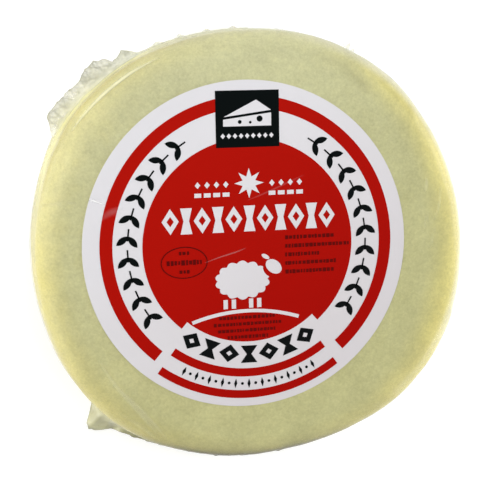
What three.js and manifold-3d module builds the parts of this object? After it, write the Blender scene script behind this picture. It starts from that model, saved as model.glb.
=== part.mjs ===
// A small wheel of pale sheep's milk cheese, shut tight in a clear shrink bag, with a round paper label
// on its face. It lies flat with the label up. Millimetres, +Z up, +Y towards the top of the label.
// The origin is the middle of the wheel's underside.

import * as THREE from "three";
import { mergeVertices } from "three/addons/utils/BufferGeometryUtils.js";
import Module from "manifold-3d";

// Driving dimensions.
const WHEEL_RADIUS = 81.4;
const WHEEL_HEIGHT = 43;
const SHOULDER_WIDTH = 11.5;
const SHOULDER_DROP = 10.5;
const WALL_BULGE = 0.8;

// The wheel is a little off round: each row is a wave round the rim with that many crests.
// The first crest stands `crest` degrees round from +X.
const OFF_ROUND = [
  { crests: 2, height: 0.54, crest: -11 },
  { crests: 3, height: 0.67, crest: -21 },
  { crests: 4, height: 1.12, crest: 53 },
];

const LABEL_RADIUS = 59;
const LABEL_THICKNESS = 0.3;
const LABEL_OFFSET = [-4.66, 3.29];

// The bag's sealed edge is a thin lip at mid height that runs part of the way round the wall.
const SEAM_HEIGHT = 21.5;
const SEAM_START = 55;
const SEAM_END = 262;
const SEAM_RIDGE = 0.4;
const SEAM_THICKNESS = 0.8;
const SEAM_ROOT = 2;

// Where surplus film stands out from the lip: its middle and half width in degrees, how far it reaches
// from the wall, and its fullness (2 is a rounded point, 8 is nearly square ended).
const LIPS = [
  { at: 62.5, half: 3, reach: 4, fullness: 2 }, // small tuft near the start
  { at: 101.5, half: 3, reach: 1, fullness: 2 }, // three nicks
  { at: 108, half: 3, reach: 1.1, fullness: 2 },
  { at: 114.5, half: 3, reach: 1.6, fullness: 2 },
  { at: 123.5, half: 4, reach: 4.4, fullness: 4 }, // the ruffle's step, body and two crests
  { at: 138, half: 11.5, reach: 5.1, fullness: 8 },
  { at: 131.5, half: 5.5, reach: 6.7, fullness: 4 },
  { at: 144, half: 5.5, reach: 6.6, fullness: 4 },
  { at: 153, half: 6, reach: 1.6, fullness: 2 }, // it ends in a narrow strip
  { at: 166, half: 14, reach: 0.8, fullness: 4 },
  { at: 228.2, half: 4.6, reach: 9.6, fullness: 2.5 }, // the ear, its root and its tail
  { at: 233.5, half: 4, reach: 4.7, fullness: 4 },
  { at: 243, half: 19, reach: 3.2, fullness: 3 },
];

// The lip ripples up and down, and more so further out: height per millimetre of reach.
const RIPPLES = [
  { crests: 43, rise: 0.3, crest: 2 },
  { crests: 97, rise: 0.14, crest: 1 },
];

// How finely the round forms are cut into flat faces.
const RIM_STEPS = 120;
const SHOULDER_STEPS = 5;
const WALL_STEPS = 4;
const SEAM_STEPS = 138;
const LIP_STEPS = 4;
const LABEL_STEPS = 96;
const MERGE_DISTANCE = 1e-3;

const radians = THREE.MathUtils.degToRad;

function wave(degreesRound, { crests, crest }) {
  return Math.cos(crests * radians(degreesRound - crest));
}

// The wheel's widest radius in the direction of an angle in degrees.
function rimRadius(degreesRound) {
  return OFF_ROUND.reduce((sum, row) => sum + row.height * wave(degreesRound, row), WHEEL_RADIUS);
}

// Half the wheel's section, from the middle of the underside to the middle of the face.
function wheelProfile() {
  const flat = WHEEL_RADIUS - WALL_BULGE - SHOULDER_WIDTH;
  const wallHeight = WHEEL_HEIGHT - 2 * SHOULDER_DROP;
  const points = [new THREE.Vector2(0, 0)];
  for (let i = 0; i <= SHOULDER_STEPS; i += 1) {
    const turn = ((i / SHOULDER_STEPS) * Math.PI) / 2;
    const out = flat + SHOULDER_WIDTH * Math.sin(turn);
    points.push(new THREE.Vector2(out, SHOULDER_DROP * (1 - Math.cos(turn))));
  }
  for (let i = 1; i < WALL_STEPS; i += 1) {
    const up = i / WALL_STEPS;
    const out = flat + SHOULDER_WIDTH + WALL_BULGE * Math.sin(up * Math.PI);
    points.push(new THREE.Vector2(out, SHOULDER_DROP + wallHeight * up));
  }
  for (let i = 0; i <= SHOULDER_STEPS; i += 1) {
    const turn = ((i / SHOULDER_STEPS) * Math.PI) / 2;
    const out = flat + SHOULDER_WIDTH * Math.cos(turn);
    points.push(new THREE.Vector2(out, WHEEL_HEIGHT - SHOULDER_DROP * (1 - Math.sin(turn))));
  }
  points.push(new THREE.Vector2(0, WHEEL_HEIGHT));
  return points;
}

// The turned wheel, with each vertex moved out or in so that the rim follows its off-round outline.
function wheelGeometry() {
  const geometry = new THREE.LatheGeometry(wheelProfile(), RIM_STEPS).rotateX(Math.PI / 2);
  const position = geometry.getAttribute("position");
  for (let i = 0; i < position.count; i += 1) {
    const x = position.getX(i);
    const y = position.getY(i);
    const stretch = rimRadius(THREE.MathUtils.radToDeg(Math.atan2(y, x))) / WHEEL_RADIUS;
    position.setXY(i, x * stretch, y * stretch);
  }
  return geometry;
}

// How far the seam stands out from the wall in the direction of an angle in degrees.
function seamReach(degreesRound) {
  let reach = SEAM_RIDGE;
  for (const lip of LIPS) {
    const away = Math.abs(degreesRound - lip.at) / lip.half;
    if (away < 1) {
      reach = Math.max(reach, lip.reach * (1 - away ** lip.fullness));
    }
  }
  return reach;
}

// The seam is a flat strip bent round the wall: x of the box runs outwards, y round and z through it.
function seamGeometry() {
  const geometry = new THREE.BoxGeometry(1, 1, 1, LIP_STEPS, SEAM_STEPS, 1);
  const position = geometry.getAttribute("position");
  for (let i = 0; i < position.count; i += 1) {
    const outward = position.getX(i) + 0.5;
    const along = position.getY(i) + 0.5;
    const degreesRound = SEAM_START + (SEAM_END - SEAM_START) * along;
    const clear = (SEAM_ROOT + seamReach(degreesRound)) * outward - SEAM_ROOT;
    const overhang = Math.max(0, clear);
    const rise = RIPPLES.reduce((sum, row) => sum + row.rise * wave(degreesRound, row), 0);
    const radius = rimRadius(degreesRound) + clear;
    position.setXYZ(
      i,
      radius * Math.cos(radians(degreesRound)),
      radius * Math.sin(radians(degreesRound)),
      SEAM_HEIGHT + overhang * rise + position.getZ(i) * SEAM_THICKNESS,
    );
  }
  return geometry;
}

const wasm = await Module();
wasm.setup();

// A closed geometry as a solid, without the faces that shrink to nothing at the poles.
function solidOf(geometry) {
  geometry.deleteAttribute("normal");
  geometry.deleteAttribute("uv");
  const merged = mergeVertices(geometry, MERGE_DISTANCE);
  const corners = [];
  for (let i = 0; i < merged.index.count; i += 3) {
    const [a, b, c] = [0, 1, 2].map((k) => merged.index.getX(i + k));
    if (a !== b && b !== c && c !== a) {
      corners.push(a, b, c);
    }
  }
  const mesh = new wasm.Mesh({
    numProp: 3,
    vertProperties: merged.getAttribute("position").array,
    triVerts: new Uint32Array(corners),
  });
  return new wasm.Manifold(mesh);
}

function geometryOf(solid) {
  const mesh = solid.getMesh();
  const geometry = new THREE.BufferGeometry();
  geometry.setAttribute("position", new THREE.BufferAttribute(mesh.vertProperties, mesh.numProp));
  geometry.setIndex(new THREE.BufferAttribute(mesh.triVerts, 1));
  geometry.computeVertexNormals();
  return geometry;
}

// The cheese in its film: one sealed body, the wheel with the bag's crumpled edge joined on.
function wrappedWheel() {
  const material = new THREE.MeshStandardMaterial({ color: 0xccc795, roughness: 0.35, metalness: 0 });
  const solid = solidOf(wheelGeometry()).add(solidOf(seamGeometry()));
  const mesh = new THREE.Mesh(geometryOf(solid), material);
  mesh.name = "wrapped_wheel";
  return mesh;
}

// The paper disc lies on the flat face, a little off the wheel's middle.
function label() {
  const material = new THREE.MeshStandardMaterial({ color: 0xdedee2, roughness: 0.4, metalness: 0 });
  const disc = new THREE.CylinderGeometry(LABEL_RADIUS, LABEL_RADIUS, LABEL_THICKNESS, LABEL_STEPS);
  const mesh = new THREE.Mesh(disc.rotateX(Math.PI / 2), material);
  mesh.position.set(...LABEL_OFFSET, WHEEL_HEIGHT + LABEL_THICKNESS / 2);
  mesh.name = "label";
  return mesh;
}

const cheese = new THREE.Group();
cheese.add(wrappedWheel(), label());

export default cheese;
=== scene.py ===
import math

import bpy
import numpy as np
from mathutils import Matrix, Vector
from mathutils.geometry import tessellate_polygon


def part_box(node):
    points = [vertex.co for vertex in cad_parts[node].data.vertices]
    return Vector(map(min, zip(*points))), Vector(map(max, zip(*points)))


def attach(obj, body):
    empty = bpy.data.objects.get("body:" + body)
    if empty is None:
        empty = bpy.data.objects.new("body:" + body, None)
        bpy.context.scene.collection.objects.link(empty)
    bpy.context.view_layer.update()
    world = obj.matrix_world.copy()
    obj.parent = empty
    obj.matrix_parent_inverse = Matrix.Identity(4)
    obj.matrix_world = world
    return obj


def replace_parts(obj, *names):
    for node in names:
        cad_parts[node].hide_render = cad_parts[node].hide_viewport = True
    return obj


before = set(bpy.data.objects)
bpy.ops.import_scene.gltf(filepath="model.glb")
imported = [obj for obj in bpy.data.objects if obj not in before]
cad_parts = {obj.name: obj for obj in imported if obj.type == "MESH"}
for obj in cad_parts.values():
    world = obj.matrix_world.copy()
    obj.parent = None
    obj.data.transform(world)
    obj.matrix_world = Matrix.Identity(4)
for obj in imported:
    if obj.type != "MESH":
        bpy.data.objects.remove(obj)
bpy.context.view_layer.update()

# A small wheel of pale sheep's milk cheese in a clear shrink bag, with a round label under the film.
# Sizes in this script are millimetres and turn into metres where Blender takes them. The frame is the
# solids' own: the wheel lies on z = 0, +Z goes up through the label, +Y to the label's top.

MM = 0.001

# The wheel, as in the solids.
WHEEL_RADIUS = 81.4
WHEEL_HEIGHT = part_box("wrapped_wheel")[1].z / MM
SHOULDER_WIDTH = 11.5
SHOULDER_DROP = 10.5
SHOULDER_FULLNESS = 2.08
WALL_BULGE = 0.8
FLAT_RADIUS = WHEEL_RADIUS - WALL_BULGE - SHOULDER_WIDTH

# Waves round the rim that make it a little off round: crests, height, first crest in degrees.
OFF_ROUND = ((2, 0.54, -11), (3, 0.67, -21), (4, 1.12, 53))

# The label's place and size come from its solid, set right by what the photograph measures. Its print
# is turned a little and lies a little off the paper's middle.
LABEL_LOW, LABEL_HIGH = (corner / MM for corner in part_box("label"))
LABEL_SHIFT = (-0.16, -0.6)
LABEL_GROWTH = 0.2
LABEL_X = (LABEL_LOW.x + LABEL_HIGH.x) / 2 + LABEL_SHIFT[0]
LABEL_Y = (LABEL_LOW.y + LABEL_HIGH.y) / 2 + LABEL_SHIFT[1]
LABEL_RADIUS = (LABEL_HIGH.x - LABEL_LOW.x) / 2 + LABEL_GROWTH
PRINT_TURN = 1.0
PRINT_X = 0.36
PRINT_Y = 0.38

# The layers, measured from the wheel's plain form: the paper's top, the step to each layer of ink, the
# cheese's surface below the form, and the film above it, in the open and over the label.
PAPER_THICKNESS = 0.12
INK_STEP = 0.02
CHEESE_DROP = 0.06
FILM_RISE = 0.02
FILM_OVER_LABEL = 0.24

# The bag's sealed edge round the wall. Surplus film stands out from it as a crumpled fringe, given
# by stops round the wheel: degrees, reach in millimetres, and painted shade, 0 for milky and 1 for grey.
SEAM_HEIGHT = WHEEL_HEIGHT / 2
SEAM_START = 55
SEAM_END = 262
SEAM_FADE_IN = 4
SEAM_FADE_OUT = 12
SEAM_RIDGE = 0.4
SEAM_HALF_WIDTH = 0.6
FRINGE = (
    (58, 0.05, 0.3), (60, 0.3, 0.3), (60.8, 2.0, 0.3), (61.7, 0.8, 0.3), (62.4, 3.4, 0.3),
    (63.1, 1.2, 0.3), (63.9, 2.2, 0.3), (64.6, 0.5, 0.3), (66, 0.05, 0.3),
    (93, 0.05, 0.8), (93.6, 0.7, 0.8), (94.2, 1.0, 0.8), (94.9, 0.3, 0.8), (95.5, 0.05, 0.8),
    (99.9, 0.05, 0.8), (100.6, 0.8, 0.8), (101.2, 1.1, 0.8), (101.9, 0.4, 0.8), (102.5, 0.05, 0.8),
    (106.9, 0.1, 1.0), (107.6, 1.0, 1.0), (108.3, 1.4, 1.0), (109.2, 0.5, 0.8), (110, 0.2, 0.7),
    (112.6, 0.3, 0.7), (113.6, 1.1, 0.7), (114.6, 1.3, 0.7), (115.6, 0.6, 0.7), (117.4, 0.4, 0.7),
    (119.9, 0.8, 0.8), (121.5, 3.0, 1.0), (123, 4.1, 1.0), (124.4, 3.0, 0.95),
    (126.3, 2.6, 0.7), (127.3, 4.8, 0.7), (128.5, 5.8, 0.8), (129.6, 7.0, 0.8), (131.4, 6.1, 0.65),
    (133, 6.0, 0.55), (134.3, 5.5, 0.3), (136.4, 4.8, 0.15), (140.4, 5.5, 0.05), (143.4, 6.1, 0.0),
    (145.1, 6.3, 0.1), (146.8, 5.4, 0.2), (148.4, 3.0, 0.2), (150.2, 0.9, 0.2), (157.5, 0.25, 0.2),
    (164, 0.15, 0.2), (180, 0.05, 0.2),
    (222.5, 0.1, 0.4), (223.7, 0.4, 0.4), (225.1, 3.0, 0.36), (226.6, 7.6, 0.36), (227.7, 8.8, 0.36),
    (229.6, 7.9, 0.36), (230.4, 6.8, 0.36), (231.3, 5.2, 0.36), (233.2, 3.8, 0.42), (235.6, 2.9, 0.52),
    (239.6, 2.6, 0.72), (244.3, 2.0, 0.9), (251.7, 2.0, 1.0), (256.4, 2.7, 1.0), (261.9, 3.1, 1.0),
    (267.8, 3.4, 1.0), (273.4, 3.6, 1.0), (279, 3.7, 1.0), (285, 2.6, 1.0), (290, 0.4, 1.0), (293, 0.05, 1.0),
)

# The fringe ripples up and down: crests round the wheel, rise per millimetre that the film stands out,
# first crest in degrees. The rise stops growing past the ripple's reach.
RIPPLES = ((43, 0.21, 2), (97, 0.12, 1))
RIPPLE_REACH = 4


# -------- shader maths


class Value:
    """A number, colour or vector that changes over a surface: one output socket of a node tree."""

    def __init__(self, tree, socket):
        self.tree = tree
        self.socket = socket

    def math(self, operation, other=0.0):
        return node(self.tree, "ShaderNodeMath", {"operation": operation}, {0: self, 1: other})

    def __add__(self, other):
        return self.math("ADD", other)

    __radd__ = __add__

    def __sub__(self, other):
        return self.math("SUBTRACT", other)

    def __rsub__(self, other):
        return node(self.tree, "ShaderNodeMath", {"operation": "SUBTRACT"}, {0: other, 1: self})

    def __mul__(self, other):
        return self.math("MULTIPLY", other)

    __rmul__ = __mul__

    def __truediv__(self, other):
        return self.math("DIVIDE", other)

    def most(self, other):
        return self.math("MAXIMUM", other)

    def least(self, other):
        return self.math("MINIMUM", other)

    def size(self):
        return self.math("ABSOLUTE")

    def rise(self, low, high):
        """0 below low and 1 above high, with a smooth step between."""
        settings = {"interpolation_type": "SMOOTHSTEP"}
        return node(self.tree, "ShaderNodeMapRange", settings, {0: self, 1: low, 2: high})


def node(tree, kind, settings=None, sockets=None, output=0):
    """A new node: its settings first, then a value or a link for each named or numbered socket."""
    made = tree.nodes.new(kind)
    for name, value in (settings or {}).items():
        setattr(made, name, value)
    for name, value in (sockets or {}).items():
        if isinstance(value, Value):
            tree.links.new(value.socket, made.inputs[name])
        else:
            made.inputs[name].default_value = value
    return Value(tree, made.outputs[output])


def place(tree):
    """The point on the surface, in millimetres of the shared frame."""
    coordinates = node(tree, "ShaderNodeTexCoord", output="Object")
    return node(tree, "ShaderNodeVectorMath", {"operation": "SCALE"}, {0: coordinates, "Scale": 1 / MM})


def painted(tree, name):
    """A number that is stored at a mesh's points."""
    return node(tree, "ShaderNodeAttribute", {"attribute_name": name}, output="Fac")


def part_of(vector, axis):
    return node(vector.tree, "ShaderNodeSeparateXYZ", None, {0: vector}, output=axis)


def toward(where, direction):
    """How far a point lies along a direction."""
    settings = {"operation": "DOT_PRODUCT"}
    return node(where.tree, "ShaderNodeVectorMath", settings, {0: where, 1: direction}, "Value")


def noise(where, size, detail=2.0, roughness=0.5):
    """Smooth noise around 0.5 with lumps about `size` millimetres across."""
    sockets = {"Vector": where, "Scale": 1 / size, "Detail": detail, "Roughness": roughness}
    return node(where.tree, "ShaderNodeTexNoise", None, sockets)


def shaded(colour, amount):
    """A colour made lighter or darker by a changing amount."""
    return node(colour.tree, "ShaderNodeVectorMath", {"operation": "SCALE"}, {0: colour, "Scale": amount})


def mixed(amount, first, second):
    """The first colour where amount is 0 and the second where it is 1."""
    colours = [c if isinstance(c, Value) else (*c, 1.0) for c in (first, second)]
    settings = {"data_type": "RGBA", "clamp_factor": True}
    return node(amount.tree, "ShaderNodeMix", settings, {0: amount, 6: colours[0], 7: colours[1]}, output=2)


def bump(height, strength, depth):
    """A bent normal: height runs from 0 to 1 and depth is its size in millimetres."""
    sockets = {"Height": height, "Strength": strength, "Distance": depth * MM}
    return node(height.tree, "ShaderNodeBump", None, sockets)


def principled(tree, sockets):
    return node(tree, "ShaderNodeBsdfPrincipled", None, sockets)


def mixed_shaders(amount, first, second):
    return node(amount.tree, "ShaderNodeMixShader", None, {0: amount, 1: first, 2: second})


def material_of(name, build):
    """A material whose surface is what build(tree) returns."""
    material = bpy.data.materials.new(name)
    material.use_nodes = True
    tree = material.node_tree
    tree.nodes.clear()
    node_out = tree.nodes.new("ShaderNodeOutputMaterial")
    tree.links.new(build(tree).socket, node_out.inputs["Surface"])
    return material


# -------- finishes

# Ways over the wheel. The cheese is paler towards the back left, the side the light comes from, partly its
# own tone and partly painted light; the paper and print are painted lighter there too.
FRONT = (0, -1, 0)
LEFT = (-1, 0, 0)
RIGHT = (1, 0, 0)
LIT_SIDE = (-0.5, 0.87, 0)

# The cheese as its film shows it: the flat face, the rim round it and the wall.
FACE_WARM = (0.532, 0.512, 0.258)
FACE_PALE = (0.593, 0.58, 0.338)
FACE_BLUSH = (0.56, 0.53, 0.265)
RIM_YELLOW = (0.655, 0.58, 0.205)
RIM_PALE = (0.63, 0.585, 0.29)
RIM_TOP = (0.67, 0.645, 0.38)
RIM_PAINTED_SHADE = (0.565, 0.50, 0.19)
RIM_PAINTED_GLOW = (0.67, 0.64, 0.44)
WALL_PAINTED_LIGHT = (0.84, 0.80, 0.38)

# Lumps in the cheese, in millimetres across.
PATCH_SIZE = 13
CURD_SIZE = 2.4
GRAIN_SIZE = 0.9

# The rim colour takes over from the face's between these distances from the axis.
RIM_START = 67
RIM_FULL = 83

# Belts round the wheel: a darker yellow band of painted shade in the shoulder and a stretch of the wall made
# paler by painted light.
SHADE_BAND_HEIGHT = 34.3
SHADE_BAND_HALF_WIDTH = 3.4
LIT_WALL_HEIGHT = 24.5
LIT_WALL_HALF_WIDTH = 8

# Painted shade: how much darker the front shoulder is where it turns down to the wall, and the cheese in its
# dents.
FRONT_PAINTED_SHADE = 0.8
DENT_PAINTED_SHADE = 0.13

# Paper and print, each with a painted shade of its colour, which it takes away from the lit side.
PAPER_WHITE = (0.765, 0.745, 0.77)
PAPER_SHADE = (0.69, 0.65, 0.665)
PRINT_RED = (0.452, 0.006, 0.002)
RED_SHADE = (0.385, 0.004, 0.002)
PRINT_BLACK = (0.0025, 0.0045, 0.0045)
BLACK_SHADE = (0.006, 0.007, 0.0075)
FADED_INK = (0.10, 0.003, 0.003)
FADED_SHADE = (0.14, 0.005, 0.004)

# Loose film: milky, creamy near the cheese with painted yellow light from it, grey or olive in painted shade,
# dark along its folds with painted shade.
MILKY_FILM = (0.92, 0.90, 0.77)
CREAMY_FILM = (0.80, 0.775, 0.50)
GREY_FILM = (0.72, 0.72, 0.58)
OLIVE_FILM = (0.26, 0.26, 0.125)
FILM_FOLD = (0.32, 0.31, 0.24)

# Pinched folds in the tight film, over the cheese and over the paper: pale lines, partly whitened film and
# partly painted highlight.
CREASE_LIGHT = (0.88, 0.85, 0.56)
CREASE_WHITE = (0.96, 0.96, 0.95)

# The tight film mirrors nothing where it is seen face on, more towards its edges, and never past a limit.
FILM_IOR = 1.45
FILM_FACING = 0.034
FILM_GLOSS = 0.5
FILM_SHINE = 0.22

TABLE_DULL = (0.50, 0.50, 0.50)
TABLE_PALE = (0.52, 0.52, 0.52)
TABLE_GLOW = 0.62


def face_colour(where, patches):
    """The flat face: paler to one side, painted light towards the lit side mixed with its own uneven tone,
    with a warm blush to the left.
    """
    to_lit = toward(where, LIT_SIDE)
    face = mixed((to_lit + 40 * patches - 20).rise(-45, 80), FACE_WARM, FACE_PALE)
    blush = 0.3 + 0.4 * noise(where, 8, 3).rise(0.45, 0.7)
    return mixed(blush * (toward(where, LEFT) - 0.4 * to_lit).rise(-10, 50), face, FACE_BLUSH)


def belt(height, middle, half_width, plain):
    """1 round a height and 0 further than half a width from it, level over the plain share of that."""
    return 1 - ((height - middle) / half_width).size().rise(plain, 1)


def painted_front_shadow(where, height):
    """Painted shade: 1 where the front shoulder turns down to the wall, fading to 0 round it."""
    return toward(where, FRONT).rise(63, 78) * (WHEEL_HEIGHT - height).rise(1, 6) * height.rise(29, 36)


def rim_colour(where, radius, height, dark):
    """The shoulder and wall: yellow, and paler at the back left, the left, the front and the far right, with
    painted light and shade: a highlight at the far right rim, a shaded band and a lit stretch at the back
    left, and a shaded front shoulder.
    """
    to_lit = toward(where, LIT_SIDE)
    to_front = toward(where, FRONT)
    to_left = toward(where, LEFT)
    to_right = toward(where, RIGHT)
    pale_edge = to_lit.rise(25, 60).most(to_front.rise(58, 76))
    pale_edge = pale_edge.most(0.45 * (to_front + to_left).rise(82, 100)).most(0.3 * to_front.rise(20, 50))
    pale_rim = mixed(to_left.rise(-5, 50).most(to_front.rise(0, 30)), RIM_TOP, RIM_PALE)
    rim = mixed(pale_edge * (1 - FRONT_PAINTED_SHADE * dark), RIM_YELLOW, pale_rim)
    # Painted highlight: the outer rim at the far right paler, where the light catches it.
    rim = mixed(radius.rise(75.5, 79.5) * (to_right - 0.5 * to_front).rise(40, 68), rim, RIM_PAINTED_GLOW)
    # Painted shade: a darker yellow band round the shoulder at the back left.
    groove = belt(height, SHADE_BAND_HEIGHT, SHADE_BAND_HALF_WIDTH, 0.2) * to_lit.rise(45, 68) * to_left.rise(8, 48)
    rim = mixed(0.75 * groove, rim, RIM_PAINTED_SHADE)
    # Painted light: a lighter stretch of the wall on the left, where the light falls.
    wall = belt(height, LIT_WALL_HEIGHT, LIT_WALL_HALF_WIDTH, 0.5) * to_lit.rise(50, 70)
    return mixed(0.8 * (wall * to_left.rise(25, 45)), rim, WALL_PAINTED_LIGHT)


def cheese_finish(tree):
    """Soft pale cheese: paler to one side, yellower round the rim, with curdy mottling all over, and painted
    light and shade: paler towards the lit side, darker low on the wall, on the front shoulder and in the
    pressed grooves.
    """
    where = place(tree)
    across = node(tree, "ShaderNodeVectorMath", {"operation": "MULTIPLY"}, {0: where, 1: (1, 1, 0)})
    radius = node(tree, "ShaderNodeVectorMath", {"operation": "LENGTH"}, {0: across}, output="Value")
    height = part_of(where, 2)
    patches = noise(where, PATCH_SIZE, 3)
    curd = noise(where, CURD_SIZE, 4, 0.7)
    grain = noise(where, GRAIN_SIZE, 4, 0.75)
    # Painted shade on the front shoulder: it keeps the rim's colour yellow there and darkens the whole base
    # colour.
    dark = painted_front_shadow(where, height)
    wider = 5 * patches - 2.5 + 5 * toward(where, RIGHT).rise(30, 70)
    rim_share = (radius + wider).rise(RIM_START, RIM_FULL)
    colour = mixed(rim_share, face_colour(where, patches), rim_colour(where, radius, height, dark))
    mottling = 0.455 + 0.32 * curd + 0.5 * grain + 0.27 * patches
    # Painted shade: the wall darker towards the floor, less so on the lit side.
    below = 0.8 + 0.2 * height.rise(6, 34).most(0.8 * toward(where, LIT_SIDE).rise(50, 70))
    # Painted shade in the pressed grooves on the face.
    dents = 1 - DENT_PAINTED_SHADE * painted(tree, "pressed")
    return principled(tree, {
        "Base Color": shaded(colour, mottling * below * (1 - FRONT_PAINTED_SHADE * dark) * dents),
        "Roughness": 0.45 + 0.2 * patches,
        "Specular IOR Level": 0.2,
        "Subsurface Weight": 0.15,
        "Subsurface Radius": (1.0, 0.8, 0.4),
        "Subsurface Scale": 0.8 * MM,
        "Normal": bump(curd + 0.8 * noise(where, 5), 0.35, 0.14),
    })


def film_finish(tree):
    """Clear film pressed on to the cheese: nearly all see-through, with a soft uneven shine."""
    where = place(tree)
    wrinkles = noise(where, 3.5, 3) + 0.6 * noise(where, 11, 2)
    bent = bump(wrinkles, 0.25, 0.2)
    shine = node(tree, "ShaderNodeBsdfGlossy", None, {
        "Color": (0.9, 0.9, 0.9, 1.0),
        "Roughness": 0.2 + 0.16 * noise(where, 16, 3),
        "Normal": bent,
    })
    clear = node(tree, "ShaderNodeBsdfTransparent")
    mirror = node(tree, "ShaderNodeFresnel", None, {"IOR": FILM_IOR, "Normal": bent})
    amount = (FILM_GLOSS * (mirror - FILM_FACING)).most(0.0).least(FILM_SHINE)
    return mixed_shaders(amount, clear, shine)


def crumpled_finish(tree):
    """Loose film: milky where it is crumpled, creamy near the cheese with painted light from it, grey or
    olive in painted shade, and darker along its folds with painted shade.
    """
    where = place(tree)
    fold = painted(tree, "fold")
    shade = painted(tree, "shade")
    mist = noise(where, 5, 3)
    inner = painted(tree, "inner")
    cloud = painted(tree, "cloud")
    light = mixed(inner, MILKY_FILM, CREAMY_FILM)
    grey = mixed(inner * cloud.rise(0.45, 0.6), GREY_FILM, OLIVE_FILM)
    body = mixed(shade, light, grey)
    skin = principled(tree, {
        "Base Color": mixed(fold, body, FILM_FOLD),
        "Roughness": 0.2 + 0.2 * noise(where, 9),
        "Specular IOR Level": 0.5,
        "Normal": bump(noise(where, 1.2, 4), 0.5, 0.2),
    })
    clear = node(tree, "ShaderNodeBsdfTransparent")
    milk = cloud + 0.26 * mist.rise(0.35, 0.65) + 0.45 * fold + 0.2 * shade
    return mixed_shaders(milk.most(0.0).least(0.97), clear, skin)


def crease_finish(tree):
    """Film pinched into a narrow fold: a pale line, partly whitened film and partly painted highlight, that
    fades at its sides and ends.
    """
    where = place(tree)
    strength = painted(tree, "strength")
    skin = principled(tree, {
        "Base Color": mixed(painted(tree, "on_paper"), CREASE_LIGHT, CREASE_WHITE),
        "Roughness": 0.25 + 0.15 * noise(where, 2),
        "Specular IOR Level": 0.5,
    })
    clear = node(tree, "ShaderNodeBsdfTransparent")
    return mixed_shaders(strength * (0.55 + 0.9 * noise(where, 4, 3)).least(1.0), clear, skin)


def lit_share(where, lump, detail):
    """0 away from the lit side and 1 towards it, with an uneven change between: how much painted light a
    surface takes.
    """
    return (toward(where, LIT_SIDE) + 30 * noise(where, lump, detail) - 15).rise(-60, 60)


def paper_finish(tree):
    """Smooth coated label paper with the faintest grain, darker away from the lit side with painted shade."""
    where = place(tree)
    grain = noise(where, 0.9, 3)
    return principled(tree, {
        "Base Color": mixed(lit_share(where, 22, 2), PAPER_SHADE, PAPER_WHITE),
        "Roughness": 0.5 + 0.1 * grain,
        "Specular IOR Level": 0.2,
        "Normal": bump(grain, 0.15, 0.03),
    })


def ink_finish(colour, shade):
    """Printed ink: its full colour towards the lit side and a painted shade of it away from it."""

    def build(tree):
        where = place(tree)
        grain = noise(where, 0.8, 3)
        return principled(tree, {
            "Base Color": mixed(lit_share(where, 18, 3), shade, colour),
            "Roughness": 0.45 + 0.12 * grain,
            "Specular IOR Level": 0.03,
            "Normal": bump(grain, 0.1, 0.02),
        })

    return build


def floor_finish(tree):
    """A white table that glows a little, as one lit from below."""
    where = place(tree)
    return principled(tree, {
        "Base Color": mixed(noise(where, 60, 3), TABLE_DULL, TABLE_PALE),
        "Roughness": 0.7 + 0.1 * noise(where, 9),
        "Specular IOR Level": 0.1,
        "Emission Color": (1, 1, 1, 1),
        "Emission Strength": TABLE_GLOW,
    })


CHEESE = material_of("pale_cheese", cheese_finish)
FILM = material_of("film_drawn_tight", film_finish)
CRUMPLED_FILM = material_of("film_crumpled", crumpled_finish)
CREASED_FILM = material_of("film_creased", crease_finish)
PAPER = material_of("label_paper", paper_finish)
RED_INK = material_of("red_ink", ink_finish(PRINT_RED, RED_SHADE))
BLACK_INK = material_of("black_ink", ink_finish(PRINT_BLACK, BLACK_SHADE))
FADED = material_of("dark_print_on_red", ink_finish(FADED_INK, FADED_SHADE))
FLOOR = material_of("pale_floor", floor_finish)


# -------- mesh helpers


def linked(name, data):
    """A new object in the scene."""
    piece = bpy.data.objects.new(name, data)
    bpy.context.scene.collection.objects.link(piece)
    return piece


def mesh_piece(name, points, faces, material, smooth=True, numbers=None):
    """A new piece from points in millimetres, on the one body, with its material.

    numbers holds, by name, a value for each point, which the material may read.
    """
    mesh = bpy.data.meshes.new(name)
    mesh.from_pydata((np.asarray(points, float) * MM).tolist(), [], faces)
    for label, values in (numbers or {}).items():
        stored = mesh.attributes.new(label, "FLOAT", "POINT")
        stored.data.foreach_set("value", np.ravel(values).astype(np.float32))
    mesh.polygons.foreach_set("use_smooth", [smooth] * len(mesh.polygons))
    mesh.materials.append(material)
    piece = linked(name, mesh)
    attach(piece, "root")
    return piece


def grid_faces(rows, columns, closed, first=0):
    """Quads between neighbouring rows, wound so that they face out where rows run down the wheel."""
    faces = []
    last = columns if closed else columns - 1
    for row in range(rows - 1):
        here = first + row * columns
        for column in range(last):
            right = (column + 1) % columns
            faces.append((here + column, here + columns + column, here + columns + right, here + right))
    return faces


def wave(degrees, crests, crest):
    """Waves round the wheel, from -1 to 1, with one of the crests at a given angle."""
    return np.cos(crests * np.radians(degrees - crest))


def directions(turns):
    """Steps of length 1 from the middle, at angles in radians."""
    return np.stack([np.cos(turns), np.sin(turns)], -1)


def rim_radius(degrees):
    """How far the wall's fullest line lies from the axis."""
    return WHEEL_RADIUS + sum(height * wave(degrees, crests, crest) for crests, height, crest in OFF_ROUND)


def smooth_step(value, low, high):
    """0 below low and 1 above high, with a smooth step between."""
    share = np.clip((value - low) / (high - low), 0, 1)
    return share * share * (3 - 2 * share)


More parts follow.
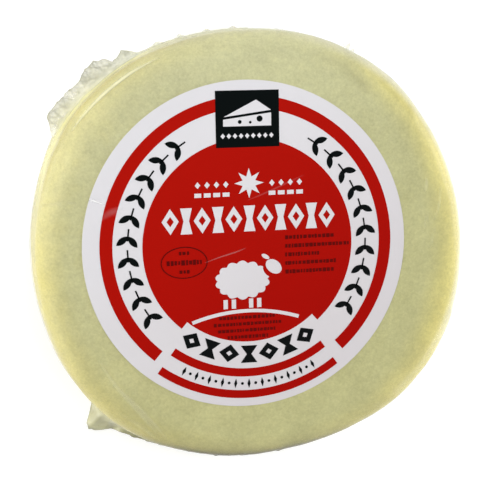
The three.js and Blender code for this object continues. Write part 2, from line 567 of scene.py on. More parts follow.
def ripple(points, size, seed, waves=36):
    """Smooth seeded noise over points, with lumps about `size` millimetres across and mostly within 1."""
    draw = np.random.default_rng(seed)
    ways = draw.normal(size=(waves, 3))
    ways /= np.linalg.norm(ways, axis=1, keepdims=True)
    ways *= draw.uniform(0.6, 1.3, (waves, 1)) * math.tau / size
    phases = draw.uniform(0, math.tau, waves)
    return np.cos(points @ ways.T + phases).sum(-1) * math.sqrt(0.5 / waves)


# -------- the wheel's surface

SECTION_POINTS = 61
QUARTER = np.linspace(0, math.pi / 2, SECTION_POINTS)
WALL = np.linspace(0, 1, SECTION_POINTS)[1:-1]


def section_line():
    """The wheel's section from the middle of the face to the middle of the underside."""
    out = FLAT_RADIUS + SHOULDER_WIDTH * np.sin(QUARTER) ** (2 / SHOULDER_FULLNESS)
    drop = SHOULDER_DROP * (1 - np.cos(QUARTER) ** (2 / SHOULDER_FULLNESS))
    wall_out = FLAT_RADIUS + SHOULDER_WIDTH + WALL_BULGE * np.sin(WALL * math.pi)
    wall_up = SHOULDER_DROP + (WHEEL_HEIGHT - 2 * SHOULDER_DROP) * (1 - WALL)
    radius = np.concatenate([[0], out, wall_out, out[::-1], [0]])
    height = np.concatenate([[WHEEL_HEIGHT], WHEEL_HEIGHT - drop, wall_up, drop[::-1], [0]])
    return radius, height


SECTION_RADIUS, SECTION_HEIGHT = section_line()
SECTION_STEPS = np.hypot(np.diff(SECTION_RADIUS), np.diff(SECTION_HEIGHT))
SECTION_RUN = np.concatenate([[0], np.cumsum(SECTION_STEPS)])
SECTION_LENGTH = SECTION_RUN[-1]


def section_at(runs):
    """The section's radius and height at distances down it."""
    runs = np.clip(runs, 0, SECTION_LENGTH)
    return np.array([np.interp(runs, SECTION_RUN, way) for way in (SECTION_RADIUS, SECTION_HEIGHT)])


def wheel_points(degrees, runs, lift=0.0):
    """Points on the wheel: round it by degrees, down its section by runs, and lift outwards from it."""
    degrees, runs = np.broadcast_arrays(degrees, runs)
    step = 0.05
    radius, height = section_at(runs)
    along_r, along_z = section_at(runs + step) - section_at(runs - step)
    along = np.hypot(along_r, along_z)
    out = radius * rim_radius(degrees) / WHEEL_RADIUS - along_z / along * lift
    up = height + along_r / along * lift
    return np.concatenate([out[..., None] * directions(np.radians(degrees)), up[..., None]], -1)


def runs_between(stops):
    """Distances down the section, evenly spaced between stops: (from, to, spacing)."""
    pieces = [np.linspace(a, b, max(2, round((b - a) / gap) + 1))[:-1] for a, b, gap in stops]
    return np.concatenate([*pieces, [stops[-1][1]]])


# The pressed wheel's unevenness: lumps across, height, seed.
UNEVEN = ((34, 0.28, 11), (11, 0.09, 12))

# The front wall is drawn in, fully and then not at all at these angles from straight front.
FRONT_DROP = 0.4
FRONT_FULL = 25
FRONT_END = 45

# Shallow grooves pressed into the face near the rim: path as (degrees, radius), half width, depth.
GROOVES = (
    (((53, 68.6), (56, 69.4), (58.4, 70.2), (61.6, 71.2), (66.8, 73.0), (71, 73.8), (78, 74.4)), 2.1, 0.7),
    (((40, 75.0), (46, 74.6), (52, 74.8), (58, 76.0)), 1.6, 0.4),
    (((80, 70), (84, 73), (90, 75.5)), 1.8, 0.4),
)
# Each fades in and out over this many degrees at its ends.
GROOVE_ENDS = 4


def grooves(points):
    """How deep each point of the wheel's upper half lies in a groove."""
    degrees = np.degrees(np.arctan2(points[..., 1], points[..., 0]))
    radius = np.hypot(points[..., 0], points[..., 1]) * WHEEL_RADIUS / rim_radius(degrees)
    depth = np.zeros_like(degrees)
    for stops, half_width, deepest in GROOVES:
        turn, path = np.transpose(stops)
        ends = smooth_step(degrees, turn[0], turn[0] + GROOVE_ENDS)
        ends = ends * (1 - smooth_step(degrees, turn[-1] - GROOVE_ENDS, turn[-1]))
        away = (radius - np.interp(degrees, turn, path)) / half_width
        depth = depth + deepest * ends * np.exp(-away ** 2)
    return depth * (points[..., 2] > WHEEL_HEIGHT / 2)


def from_label(points):
    """How far each point lies from the label's middle, seen from above."""
    return np.hypot(points[..., 0] - LABEL_X, points[..., 1] - LABEL_Y)


def undulation(points):
    """How far the surface lies off the plain form, and not at all where the label or the floor is flat."""
    height = points[..., 2]
    off_label = smooth_step(from_label(points), LABEL_RADIUS + 1, LABEL_RADIUS + 14)
    free = smooth_step(height, 0, 9) * np.where(height < WHEEL_HEIGHT / 2, 1, off_label)
    from_front = np.abs(np.degrees(np.arctan2(-points[..., 0], -points[..., 1])))
    front = 1 - smooth_step(from_front, FRONT_FULL, FRONT_END)
    uneven = sum(rise * ripple(points, size, seed) for size, rise, seed in UNEVEN)
    return free * (uneven - grooves(points) - FRONT_DROP * front * smooth_step(height, 8, 16))


def wheel_skin(name, stops, columns, lift, material):
    """A closed skin over the whole wheel, lifted from its plain form by lift(points, degrees).

    Each point also carries how deep it lies in a groove, as the number "pressed".
    """
    runs = runs_between(stops)
    degrees = np.arange(columns) * 360 / columns
    plain = wheel_points(degrees[None, :], runs[:, None])
    raised = lift(plain, degrees[None, :])
    points = wheel_points(degrees[None, :], runs[:, None], raised)
    flat = points.reshape(-1, 3)
    top = points[0].mean(0)
    bottom = points[-1].mean(0)
    faces = grid_faces(len(runs), columns, True)
    last = (len(runs) - 1) * columns
    for column in range(columns):
        right = (column + 1) % columns
        faces += [(len(flat), column, right), (len(flat) + 1, last + right, last + column)]
    numbers = {"pressed": np.append(grooves(plain).ravel(), [0, 0])}
    return mesh_piece(name, np.vstack([flat, top, bottom]), faces, material, numbers=numbers)


# -------- cheese

CHEESE_COLUMNS = 360
# The finest unevenness: its depth, lumps across and seed.
PIT_DEPTH = 0.03
PIT_SIZE = 4
PIT_SEED = 21


def cheese_lift(points, degrees):
    """How far the cheese lies from the plain form. Only the film's own lift needs degrees."""
    return undulation(points) - CHEESE_DROP - PIT_DEPTH * (1 + ripple(points, PIT_SIZE, PIT_SEED))


def cheese_wheel():
    stops = (
        (3, FLAT_RADIUS - 12, 5),
        (FLAT_RADIUS - 12, SECTION_LENGTH - FLAT_RADIUS + 12, 1.2),
        (SECTION_LENGTH - FLAT_RADIUS + 12, SECTION_LENGTH - 3, 5),
    )
    piece = wheel_skin("cheese_wheel", stops, CHEESE_COLUMNS, cheese_lift, CHEESE)
    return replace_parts(piece, "wrapped_wheel")


# -------- film drawn tight

FILM_COLUMNS = 600


def seam_share(degrees):
    """1 along the sealed edge and 0 away from it, in degrees round the wheel."""
    begun = smooth_step(degrees, SEAM_START, SEAM_START + SEAM_FADE_IN)
    return begun * (1 - smooth_step(degrees, SEAM_END - SEAM_FADE_OUT, SEAM_END))


def film_lift(points, degrees):
    """How far the tight film lies from the plain form: over the cheese, the label and the seam."""
    height = points[..., 2]
    over_label = 1 - smooth_step(from_label(points), LABEL_RADIUS + 0.1, LABEL_RADIUS + 1.3)
    over_label = over_label * (height > WHEEL_HEIGHT / 2)
    off_floor = smooth_step(height, 0, 2)
    lift = undulation(points) + FILM_RISE * off_floor + over_label * (FILM_OVER_LABEL - FILM_RISE)
    across_seam = (height - SEAM_HEIGHT) / SEAM_HALF_WIDTH
    return lift + SEAM_RIDGE * seam_share(degrees) * np.exp(-(across_seam ** 2))


def film_skin():
    stops = (
        (4, 48, 6),
        (48, FLAT_RADIUS - 2, 0.8),
        (FLAT_RADIUS - 2, SECTION_LENGTH - FLAT_RADIUS + 2, 0.6),
        (SECTION_LENGTH - FLAT_RADIUS + 2, SECTION_LENGTH - 4, 3),
    )
    piece = wheel_skin("film_skin", stops, FILM_COLUMNS, film_lift, FILM)
    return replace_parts(piece, "wrapped_wheel")


def smooth_path(stops, count):
    """A smooth path of count points through stops, each a pair of numbers."""
    stops = np.asarray(stops, float)
    at = np.linspace(0, len(stops) - 1, count)
    first = np.minimum(at.astype(int), len(stops) - 2)
    t = (at - first)[:, None]
    padded = np.vstack([2 * stops[0] - stops[1], stops, 2 * stops[-1] - stops[-2]])
    a, b, c, d = (padded[first + i] for i in range(4))
    square = 2 * a - 5 * b + 4 * c - d
    cube = 3 * b - a - 3 * c + d
    return 0.5 * (2 * b + (c - a) * t + square * t ** 2 + cube * t ** 3)


# How far a crease's edges lie above the film, and the points in its mesh: across it, and along it over
# the cheese and over the label.
CREASE_LIFT = 0.02
CREASE_COLUMNS = 11
FACE_CREASE_ROWS = 120
LABEL_CREASE_ROWS = 40


def crease_mesh(degrees, runs, width, height, strength):
    """A narrow fold of film along a path: its points in a grid, and how strongly each shows."""
    plain = wheel_points(degrees, runs)
    middle = wheel_points(degrees, runs, film_lift(plain, degrees) + CREASE_LIFT)
    normal = wheel_points(degrees, runs, 1.0) - plain
    side = np.cross(normal, np.gradient(middle, axis=0))
    side /= np.linalg.norm(side, axis=1, keepdims=True)
    taper = np.sin(np.linspace(0, math.pi, len(degrees)))[:, None] ** 0.5
    across = np.linspace(-1, 1, CREASE_COLUMNS)[None, :]
    hump = (1 - across ** 2) ** 2
    offset = across * width / 2 * (0.35 + 0.65 * taper)
    points = middle[:, None] + side[:, None] * offset[..., None]
    points = points + normal[:, None] * (hump * height * taper)[..., None]
    return points, strength * hump * taper


# Folds in the film round the shoulder and face: path as (degrees, run), width, height, strength.
FACE_CREASES = (
    (((117, 78.6), (124, 79.1), (131, 79.3), (138, 79.6), (146.5, 80)), 2.8, 0.08, 0.85),
    (((166.5, 81.5), (165.7, 79), (164.6, 73.8), (163.4, 69.8), (164.1, 66.1)), 2.2, 0.08, 0.12),
    (((211, 68.6), (218, 69.0), (225.9, 69.8), (231.6, 71.0), (236.6, 73.2), (241, 76.5)), 2.4, 0.08, 0.26),
    (((222.5, 68.8), (228, 69.2), (233, 70.3), (238.5, 72.8), (243, 76)), 2.2, 0.06, 0.24),
    (((227, 75.5), (232, 75.3), (237, 76.2), (241, 78)), 3.2, 0.05, 0.16),
    (((22.8, 68.5), (20.5, 67.6), (18.2, 66.4)), 2.4, 0.04, 0.3),
    (((18.5, 72.6), (15.5, 71.6), (12, 69.8), (8, 66.8)), 2.0, 0.04, 0.16),
    (((12, 66), (8.5, 64), (4.5, 62.5)), 2.0, 0.04, 0.14),
    (((7, 68), (3, 66), (-1, 65)), 2.4, 0.04, 0.10),
)

# Folds over the label: path as (x, y) on the face, width, height, strength.
LABEL_CREASES = (
    (((-61.0, 20.9), (-60.0, 20.6), (-58.3, 20.0), (-55.6, 18.9)), 1.1, 0.05, 0.9),
    (((-57.5, 13.8), (-54.6, 15.8), (-52.0, 16.8), (-49.0, 17.6)), 3.4, 0.05, 0.07),
    (((-21.0, -2.8), (-15.0, -0.8), (-9.0, 0.9), (-5.5, 2.2)), 0.7, 0.06, 0.12),
    (((-5.4, 19.4), (4.5, 23.2), (16.0, 28.0)), 0.8, 0.06, 0.06),
)


def creases():
    paths = []
    for stops, *size in FACE_CREASES:
        degrees, runs = smooth_path(stops, FACE_CREASE_ROWS).T
        paths.append((degrees, runs, size, 0.0))
    for stops, *size in LABEL_CREASES:
        x, y = smooth_path(stops, LABEL_CREASE_ROWS).T
        paths.append((np.degrees(np.arctan2(y, x)), np.hypot(x, y), size, 1.0))
    points, faces, shown, papered = [], [], [], []
    for degrees, runs, size, on_paper in paths:
        grid, amount = crease_mesh(degrees, runs, *size)
        faces += grid_faces(*grid.shape[:2], False, sum(len(p) for p in points))
        points.append(grid.reshape(-1, 3))
        shown.append(np.ravel(amount))
        papered.append(np.full(amount.size, on_paper))
    numbers = {"strength": np.concatenate(shown), "on_paper": np.concatenate(papered)}
    piece = mesh_piece("film_creases", np.vstack(points), faces, CREASED_FILM, numbers=numbers)
    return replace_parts(piece, "wrapped_wheel")


# -------- the crumpled edge

FILM_GRID = 0.3
FILM_ROWS = 34

# The film's creases: how many sets cross, the widest facet, how much narrower each next set is, and the
# half width of a crease's line.
FOLD_SETS = 9
LARGEST_FOLD = 6.5
FOLD_SHRINK = 0.8
FOLD_LINE = 0.18

# Each ply starts on the wall, further up or down where the film stands out further, and its root is
# tucked a little into the wall. The plies meet at the seam with a gap of twice the last value.
WALL_CLIMB = 1.6
HIGHEST_CLIMB = 7.5
CLIMB_SPREAD = 3
ROOT_TUCK = 0.3
HALF_GAP = 0.06

# Each stretch of loose film: start and end in degrees, seed, scale and depth of its facets, darkness of
# its creases, reach of the creamy part, and how milky it is at its free edge.
LOOSE_FILM = {
    "ruffle": (90, 180, 31, 1.0, 0.42, 0.9, 6.5, 0.13),
    "ear": (216, 296, 47, 1.3, 0.07, 0.2, 26, 0.7),
    "tuft": (54, 70, 51, 1.0, 0.42, 0.8, 6.5, -0.1),
}


def fringe_at(degrees):
    """How far the seam's film stands out from the wall, and its painted shade."""
    turn, reach, shade = np.transpose(FRINGE)
    return np.interp(degrees, turn, reach), np.interp(degrees, turn, shade)


def folds(along, outward, seed, scale):
    """Flat facets between straight creases: their height, and how near each point lies to a crease."""
    draw = np.random.default_rng(seed)
    zero = np.zeros_like(along + outward)
    warp = ripple(np.stack([along + zero, outward + zero, zero], -1), 12 * scale, seed + 1)
    height, line = zero, zero
    for i in range(FOLD_SETS):
        size = scale * LARGEST_FOLD * draw.uniform(0.75, 1.0) * FOLD_SHRINK ** i
        lean = draw.uniform(-0.9, 0.9)
        across = (along * math.cos(lean) + outward * math.sin(lean)) / size + 0.35 * warp + draw.uniform()
        saw = np.abs(across % 1 - 0.5) * 2
        height = height + size / LARGEST_FOLD * (saw - 0.5)
        near = np.minimum(saw, 1 - saw) * size / 2
        line = np.maximum(line, FOLD_SHRINK ** (0.7 * i) * np.exp(-((near / FOLD_LINE) ** 2)))
    return height, line


def climb_along(reach):
    """How far up or down the wall each ply starts, evened out along the rim."""
    spread = np.exp(-0.5 * (np.arange(-30, 31) * FILM_GRID / CLIMB_SPREAD) ** 2)
    return np.convolve(np.minimum(WALL_CLIMB * reach, HIGHEST_CLIMB), spread / spread.sum(), "same")


def loose_film(name, side, start, end, seed, scale, depth, lines, cream, cloud):
    """One ply of the surplus film: off the wall, over to the seam and out to its free edge."""
    columns = round(math.radians(end - start) * WHEEL_RADIUS / FILM_GRID)
    degrees = np.linspace(start, end, columns)[None, :]
    share = np.linspace(0, 1, FILM_ROWS)[:, None]
    turned = np.radians(degrees)
    along = turned * WHEEL_RADIUS
    edge = np.stack([along, 0 * along, 0 * along], -1)
    reach, shade = fringe_at(degrees)
    reach = reach * (1 + 0.03 * ripple(edge, 4.5, seed + 7) + 0.04 * ripple(edge, 1.6, seed + 8))
    climb = side * climb_along(reach[0]) * (1 - share) ** 2
    out = -ROOT_TUCK * (1 - share) ** 2 + 0.25 * share * (1 - share) * reach + share ** 2 * reach
    height, line = folds(along, share * reach, seed, scale)
    free = smooth_step(out, 0, 3) * np.minimum(reach / 4, 1)
    waving = np.clip(out, 0, RIPPLE_REACH)
    wave_up = waving * sum(rise * wave(degrees, crests, crest) for crests, rise, crest in RIPPLES)
    up = climb + wave_up + depth * free * height + side * HALF_GAP
    radius = rim_radius(degrees) + out + 0.35 * depth * free * (height - height.mean())
    points = np.stack([radius * np.cos(turned), radius * np.sin(turned), SEAM_HEIGHT + up], -1)
    # Painted shade: dark lines along the folds, the free edge and the root.
    rim_line = smooth_step(share, 0.9, 1.0) * np.minimum(reach / 2, 1)
    root_line = np.exp(-((share - 0.08) / 0.04) ** 2) * np.minimum(reach / 3, 1)
    numbers = {
        "fold": np.maximum(np.maximum(lines * line * free, 0.75 * rim_line), 0.05 * root_line),
        "inner": (1 - smooth_step(out, 0.2 * cream, cream)) * np.ones_like(radius),
        "shade": shade * np.ones_like(radius),
        "cloud": (cloud + 0.34 * (1 - smooth_step(share, 0.15, 0.6))) * np.ones_like(radius),
    }
    faces = grid_faces(*points.shape[:2], False)
    piece = mesh_piece(name, points.reshape(-1, 3), faces, CRUMPLED_FILM, numbers=numbers)
    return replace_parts(piece, "wrapped_wheel")


def crumpled_edge():
    for side, layer in ((1, "upper"), (-1, "lower")):
        for name, stretch in LOOSE_FILM.items():
            loose_film(f"{name}_{layer}", side, *stretch)


# -------- label shapes, in its own plane


def circle(x, y, radius, steps=48):
    return directions(np.arange(steps) * math.tau / steps) * radius + (x, y)


def ellipse(x, y, wide, high, turn=0.0):
    return moved(circle(0, 0, 1) * (wide / 2, high / 2), x, y, turn)


def band(inner, outer, start, end):
    """Part of a ring between two angles in degrees, with a point at each degree or so."""
    ring = directions(np.radians(np.linspace(start, end, max(2, round(end - start) + 1))))
    return np.vstack([ring * outer, ring[::-1] * inner])


def moved(points, x, y, turn=0.0):
    """Points turned by degrees about the origin and then moved."""
    c, s = math.cos(math.radians(turn)), math.sin(math.radians(turn))
    points = np.asarray(points, float)
    return points @ np.array([[c, s], [-s, c]]) + (x, y)


def oblong(x, y, wide, high):
    return np.array([(-1, -1), (1, -1), (1, 1), (-1, 1)]) * (wide / 2, high / 2) + (x, y)


def lozenge(x, y, wide, high):
    return np.array([(-1, 0), (0, -1), (1, 0), (0, 1)]) * (wide / 2, high / 2) + (x, y)


def hourglass(x, y, wide, high, waist):
    half = [(wide / 2, -high / 2), (waist / 2, 0), (wide / 2, high / 2)]
    return np.array(half + [(-across, up) for across, up in half[::-1]]) + (x, y)


def leaf(length, wide):
    """A leaf from the origin along +x, pointed at both ends."""
    along = np.linspace(0, 1, 9)
    belly = wide / 2 * np.sin(along * math.pi) ** 0.8
    edge = np.stack([along * length, belly], -1)
    return np.vstack([edge[:-1], (edge * (1, -1))[:0:-1]])


def on_ring(points, radius, degrees):
    """A shape drawn about the origin, set on a ring with its own x axis along the ring."""
    turn = math.radians(degrees)
    return moved(points, radius * math.cos(turn), radius * math.sin(turn), degrees - 90)


def flat_piece(name, shapes, layer, material):
    """Printed shapes, each an outline and its holes, laid flat on the label's paper."""
    points = []
    faces = []
    for outlines in shapes:
        outlines = [np.asarray(o, float) for o in (outlines if isinstance(outlines, list) else [outlines])]
        first = len(points)
        for outline in outlines:
            points.extend(moved(outline, 0, 0, PRINT_TURN) + (LABEL_X + PRINT_X, LABEL_Y + PRINT_Y))
        flat = [[Vector((x, y, 0)) for x, y in outline] for outline in outlines]
        faces.extend(tuple(first + i for i in corners) for corners in tessellate_polygon(flat))
    height = WHEEL_HEIGHT + PAPER_THICKNESS + layer * INK_STEP
    raised = np.array([(x, y, height) for x, y in points])
    faces = [facing_up(raised, corners) for corners in faces]
    piece = mesh_piece(name, raised, faces, material, smooth=False)
    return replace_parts(piece, "label")


def facing_up(points, corners):
    """A triangle's corners in the order that makes it face up."""
    a, b, c = (points[i] for i in corners)
    turn = (b[0] - a[0]) * (c[1] - a[1]) - (b[1] - a[1]) * (c[0] - a[0])
    return corners if turn > 0 else corners[::-1]


# -------- label

# The fields of colour: radii in millimetres, angles in degrees, the plaque as x, y, width and height.
DISC_RADIUS = 38.45
LOWER_DISC_RADIUS = 35.4
DISC_POINTS = 280
LOWER_DISC_POINTS = 84
RING = (48.98, 53.5)
RING_OPEN = 41
RING_MIDDLE = -90.4
ARC_MIDDLE = -91
INNER_ARC = (45.4, 48.5)
OUTER_ARC = (53.6, 56.6)
ARC_HALF = 36.5
PLAQUE = (0.2, 45.15, 23.0, 20.0)

# The leafy twigs up both sides of the white ring.
LEAF_RADIUS = 43.7
LEAF_PAIRS = 10
LEAF_START = 33
LEAF_STEP = 9.8
LEAF_LENGTH = 5.2
LEAF_WIDTH = 2.3
LEAF_SPREAD = 46
STALK = (4.4, 0.6)

# Rows of lozenges along the bottom: a bold one with hourglasses, and a fine one with dots.
BOLD_RADIUS = 40.1
BOLD_COUNT = 7
BOLD_STEP = 10.6
BOLD_HOURGLASS = (6.2, 6.4, 1.7)
BOLD_LOZENGE = (7.6, 6.6)
BOLD_HOLE = (2.3, 2.0)
FINE_RADIUS = 51.1
FINE_COUNT = 21
FINE_STEP = 2.8
FINE_DOT = 0.55
FINE_LOZENGE = (1.2, 3.6)

# White and dark marks on the red disc.
BAND = (0.35, 9.7, 63.1, 9.3)
BAND_COUNT = 11
STAR_X = 0.35
STAR_Y = 22.4
HEAD = (9.0, -8.2)
HILL_RADIUS = 60
HILL_TOP = -23.3
HILL_HALF = 19
HILL_LINE = 1.3
OVAL = (-23.7, -5.1, 16.9, 11.5)

# Rows of small dark marks: the oval's as length, height above its middle and size, and two blocks' as
# lengths, from the top down.
OVAL_ROWS = ((3.6, 3.4, 1.3), (12.6, 0, 1.9), (3.6, -3.3, 1.3))
SIDE_ROWS = (19, 24, 13, 19, 19)
FOOT_ROWS = (21, 25, 22, 15)


def label_paper():
    turns = 180
    rim = circle(LABEL_X, LABEL_Y, LABEL_RADIUS, turns)
    heights = (WHEEL_HEIGHT, WHEEL_HEIGHT + PAPER_THICKNESS)
    points = [(x, y, height) for height in heights for x, y in rim]
    middle = len(points)
    points += [(LABEL_X, LABEL_Y, height) for height in heights]
    faces = []
    for i in range(turns):
        j = (i + 1) % turns
        faces += [(i, j, turns + j, turns + i), (middle, j, i), (middle + 1, turns + i, turns + j)]
    piece = mesh_piece("label_paper", points, faces, PAPER, smooth=False)
    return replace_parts(piece, "label")


def red_print():
    left, right = -90 - RING_OPEN, -90 + RING_OPEN
    upper = np.radians(np.linspace(right, left + 360, DISC_POINTS))
    lower = np.radians(np.linspace(left, right, LOWER_DISC_POINTS))
    disc = np.vstack([directions(upper) * DISC_RADIUS, directions(lower) * LOWER_DISC_RADIUS])
    ring = band(*RING, RING_MIDDLE + RING_OPEN, RING_MIDDLE - RING_OPEN + 360)
    inner = band(*INNER_ARC, ARC_MIDDLE - ARC_HALF, ARC_MIDDLE + ARC_HALF)
    outer = band(*OUTER_ARC, ARC_MIDDLE - ARC_HALF, ARC_MIDDLE + ARC_HALF)
    return flat_piece("print_red", [disc, ring, inner, outer], 1, RED_INK)


def black_print():
    shapes = [oblong(*PLAQUE)]
    shapes += garland(1) + garland(-1)
    for i in range(BOLD_COUNT):
        degrees = ARC_MIDDLE + BOLD_STEP * (i - (BOLD_COUNT - 1) / 2)
        if i % 2:
            shapes.append(on_ring(hourglass(0, 0, *BOLD_HOURGLASS), BOLD_RADIUS, degrees))
        else:
            outlines = (lozenge(0, 0, *BOLD_LOZENGE), lozenge(0, 0, *BOLD_HOLE))
            shapes.append([on_ring(outline, BOLD_RADIUS, degrees) for outline in outlines])
    for i in range(FINE_COUNT):
        degrees = ARC_MIDDLE + FINE_STEP * (i - (FINE_COUNT - 1) / 2)
        shape = circle(0, 0, FINE_DOT, 12) if i % 2 else lozenge(0, 0, *FINE_LOZENGE)
        shapes.append(on_ring(shape, FINE_RADIUS, degrees))
    return flat_piece("print_black", shapes, 2, BLACK_INK)


def garland(side):
    """A row of paired leaves up one side of the label's white ring, each pair with its own stalk."""
    shapes = []
    for i in range(LEAF_PAIRS):
        degrees = 90 + side * (LEAF_START + LEAF_STEP * i)
        shapes.append(on_ring(oblong(-0.3 * side, 0, *STALK), LEAF_RADIUS, degrees))
        for tilt in (-LEAF_SPREAD, LEAF_SPREAD):
            blade = moved(leaf(LEAF_LENGTH, LEAF_WIDTH), -side * 0.8, 0, 90 + 90 * side + tilt)
            shapes.append(on_ring(blade, LEAF_RADIUS, degrees))
    return shapes


def white_print():
    """Marks like bare paper on the red and the black."""
    shapes = plaque_mark() + woven_band() + star_row() + sheep()
    return flat_piece("print_bare_paper", shapes, 3, PAPER)


def plaque_mark():
    """A wedge of cheese over a row of beads."""
    side = np.array([(-8.6, 42.6), (8.8, 42.6), (8.8, 47.2), (-8.6, 45.0)])
    top = np.array([(-8.4, 45.9), (8.8, 48.1), (3.4, 51.8)])
    holes = [circle(-2.6, 44.1, 0.7, 20), circle(4.6, 45.1, 1.1, 20), circle(1.2, 43.9, 0.5, 16)]
    return [[side, *holes], top] + [lozenge(2.2 * (i - 4), 39.2, 1.7, 1.9) for i in range(9)]


def woven_band():
    """A band across the disc, as on woven cloth: lozenges between hourglasses."""
    x, y, wide, high = BAND
    step = wide / BAND_COUNT
    shapes = []
    for i in range(BAND_COUNT):
        at = x + step * (i - (BAND_COUNT - 1) / 2)
        if i % 2:
            shapes.append(hourglass(at, y, step - 1.5, high, 2.0))
        else:
            shapes.append([lozenge(at, y, step + 0.4, high), lozenge(at, y, 2.6, 3.6)])
    return shapes


def star_row():
    """An eight-pointed star between two short rows of beads and dashes."""
    turns = np.radians(90 + 22.5 * np.arange(16))
    reach = np.where(np.arange(16) % 2, 2.5, 5.4)
    shapes = [moved(directions(turns) * reach[:, None], STAR_X, STAR_Y)]
    for side in (-1, 1):
        for i in range(4):
            at = STAR_X + side * (8.4 + 3.4 * i)
            shapes += [oblong(at, 18.6, 2.5, 1.5), lozenge(at, 22.2, 2.0, 2.4)]
    return shapes


def sheep():
    """A woolly sheep standing on a low hill."""
    turns = np.radians(np.arange(0, 360, 2))
    curl = 0.95 * np.abs(np.sin(7 * turns))
    wool = directions(turns) * np.stack([9.2 + curl, 6.2 + curl], -1) + (-2.6, -12.6)
    wool = pushed_out(wool, *HEAD, 4.0)
    shapes = [wool, ellipse(*HEAD, 6.6, 4.6, -38), ellipse(6.0, -4.4, 3.2, 1.5, 150)]
    for x in (-9.0, -6.0, 0.4, 3.4):
        shapes.append(oblong(x, -21.2, 1.6, 3.4))
    hill = band(HILL_RADIUS, HILL_RADIUS + HILL_LINE, 90 - HILL_HALF, 90 + HILL_HALF)
    shapes.append(moved(hill, -1.6, HILL_TOP - HILL_LINE - HILL_RADIUS))
    return shapes


def pushed_out(points, x, y, radius):
    """Points moved clear of a circle."""
    away = points - (x, y)
    distance = np.linalg.norm(away, axis=1, keepdims=True)
    return (x, y) + away * np.maximum(radius / distance, 1)


def faded_print():
    """Small dark marks on the red: an oval stamp and lines of dashes."""
    draw = np.random.default_rng(61)
    x, y, wide, high = OVAL
    shapes = [[ellipse(x, y, wide, high), ellipse(x, y, wide - 0.7, high - 0.7)]]
    for length, rise, size in OVAL_ROWS:
        shapes += dashes(x - length / 2, y + rise, length, size, draw)
    for row, length in enumerate(SIDE_ROWS):
        shapes += dashes(13.4, 2.2 - 3.15 * row, length, 1.5, draw)
    for row, length in enumerate(FOOT_ROWS):
        shapes += dashes(-1.0 - length / 2, -26.3 - 2.4 * row, length, 1.3, draw)
    return flat_piece("print_small_marks", shapes, 4, FADED)


def dashes(x, y, length, high, draw):
    """A row of short marks of uneven length."""
    shapes = []
    at = x
    while at < x + length - 0.5:
        mark = min(draw.uniform(0.5, 1.3), x + length - at)
        shapes.append(oblong(at + mark / 2, y, mark, high * draw.uniform(0.75, 1.0)))
        at += mark + draw.uniform(0.3, 0.55)
    return shapes


# -------- floor, camera and light

# The camera leans from straight above by the tilt, towards the side, as in the photograph.
AIM = Vector((-4.15, 1.35, WHEEL_HEIGHT + 0.3))
VIEW_DISTANCE = 407.2
VIEW_TILT = 15.7
VIEW_SIDE = 144.5
FOCAL_PIXELS = 1134
FRAME_PIXELS = 500
SENSOR_WIDTH = 36

# Soft lights: azimuth, elevation, distance, width, height, watts, colour.
LIGHTS = {
    "key_light": (163, 36, 2000, 1500, 1300, 27.2, (1.0, 0.985, 0.94)),
    "low_left_light": (203, 12, 1800, 1000, 500, 10.5, (1.0, 1.0, 1.0)),
    "low_right_light": (8, 10, 1800, 1000, 500, 22.5, (1.0, 1.0, 1.0)),
    "low_front_light": (-32, 10, 1800, 900, 500, 17, (1.0, 1.0, 1.0)),
    "top_light": (80, 66, 2000, 1200, 700, 19.8, (0.94, 0.975, 1.0)),
}
BACKDROP_LIGHT = 0.2
OVERHEAD_LOSS = 0.18
FLOOR_HALF = 1500


def pointed(piece, position, aim, up=Vector((0, 1, 0))):
    """Puts a camera or light at a position in millimetres, looking at aim with up upright."""
    back = (position - aim).normalized()
    right = up.cross(back).normalized()
    upright = back.cross(right)
    matrix = piece.matrix_world.copy()
    for row in range(3):
        matrix[row] = (right[row], upright[row], back[row], position[row] * MM)
    piece.matrix_world = matrix


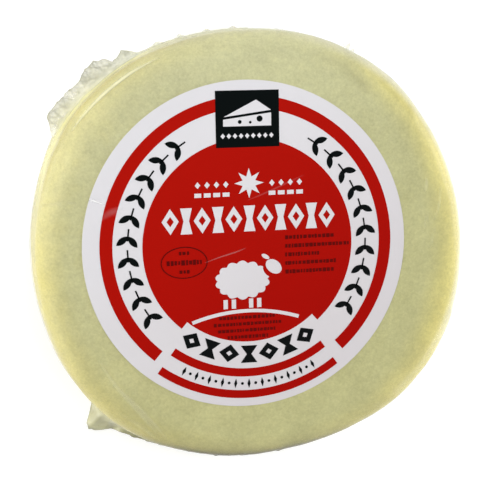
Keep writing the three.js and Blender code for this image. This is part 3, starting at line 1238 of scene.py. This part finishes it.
def around(aim, azimuth, elevation, distance):
    """A point at a distance from aim, in degrees round it and above it."""
    a, e = math.radians(azimuth), math.radians(elevation)
    return aim + distance * Vector((math.cos(e) * math.cos(a), math.cos(e) * math.sin(a), math.sin(e)))


def camera():
    data = bpy.data.cameras.new("camera")
    data.sensor_width = SENSOR_WIDTH
    data.lens = SENSOR_WIDTH * FOCAL_PIXELS / FRAME_PIXELS
    data.clip_start = 0.02
    piece = linked("camera", data)
    pointed(piece, around(AIM, VIEW_SIDE, 90 - VIEW_TILT, VIEW_DISTANCE), AIM)
    bpy.context.scene.camera = piece


def softbox(name, azimuth, elevation, distance, wide, high, power, colour):
    data = bpy.data.lights.new(name, "AREA")
    data.shape = "RECTANGLE"
    data.size, data.size_y = wide * MM, high * MM
    data.energy = power
    data.color = colour
    piece = linked(name, data)
    aim = Vector((0, 0, WHEEL_HEIGHT / 2))
    pointed(piece, around(aim, azimuth, elevation, distance), aim, Vector((0, 0, 1)))


def studio():
    for name, light in LIGHTS.items():
        softbox(name, *light)
    world = bpy.data.worlds.new("studio")
    bpy.context.scene.world = world
    world.use_nodes = True
    tree = world.node_tree
    tree.nodes.clear()
    direction = node(tree, "ShaderNodeTexCoord", output="Generated")
    overhead = part_of(direction, 2).rise(0.35, 0.75)
    strength = BACKDROP_LIGHT - OVERHEAD_LOSS * overhead
    backdrop = node(tree, "ShaderNodeBackground", None, {"Strength": strength})
    output = tree.nodes.new("ShaderNodeOutputWorld")
    tree.links.new(backdrop.socket, output.inputs["Surface"])


def floor():
    half = FLOOR_HALF * MM
    mesh = bpy.data.meshes.new("floor")
    corners = [(-half, -half, 0), (half, -half, 0), (half, half, 0), (-half, half, 0)]
    mesh.from_pydata(corners, [], [(0, 1, 2, 3)])
    mesh.materials.append(FLOOR)
    piece = linked("floor", mesh)


bpy.context.scene.view_settings.view_transform = "Standard"
camera()
studio()
floor()
cheese_wheel()
film_skin()
creases()
crumpled_edge()
label_paper()
red_print()
black_print()
white_print()
faded_print()
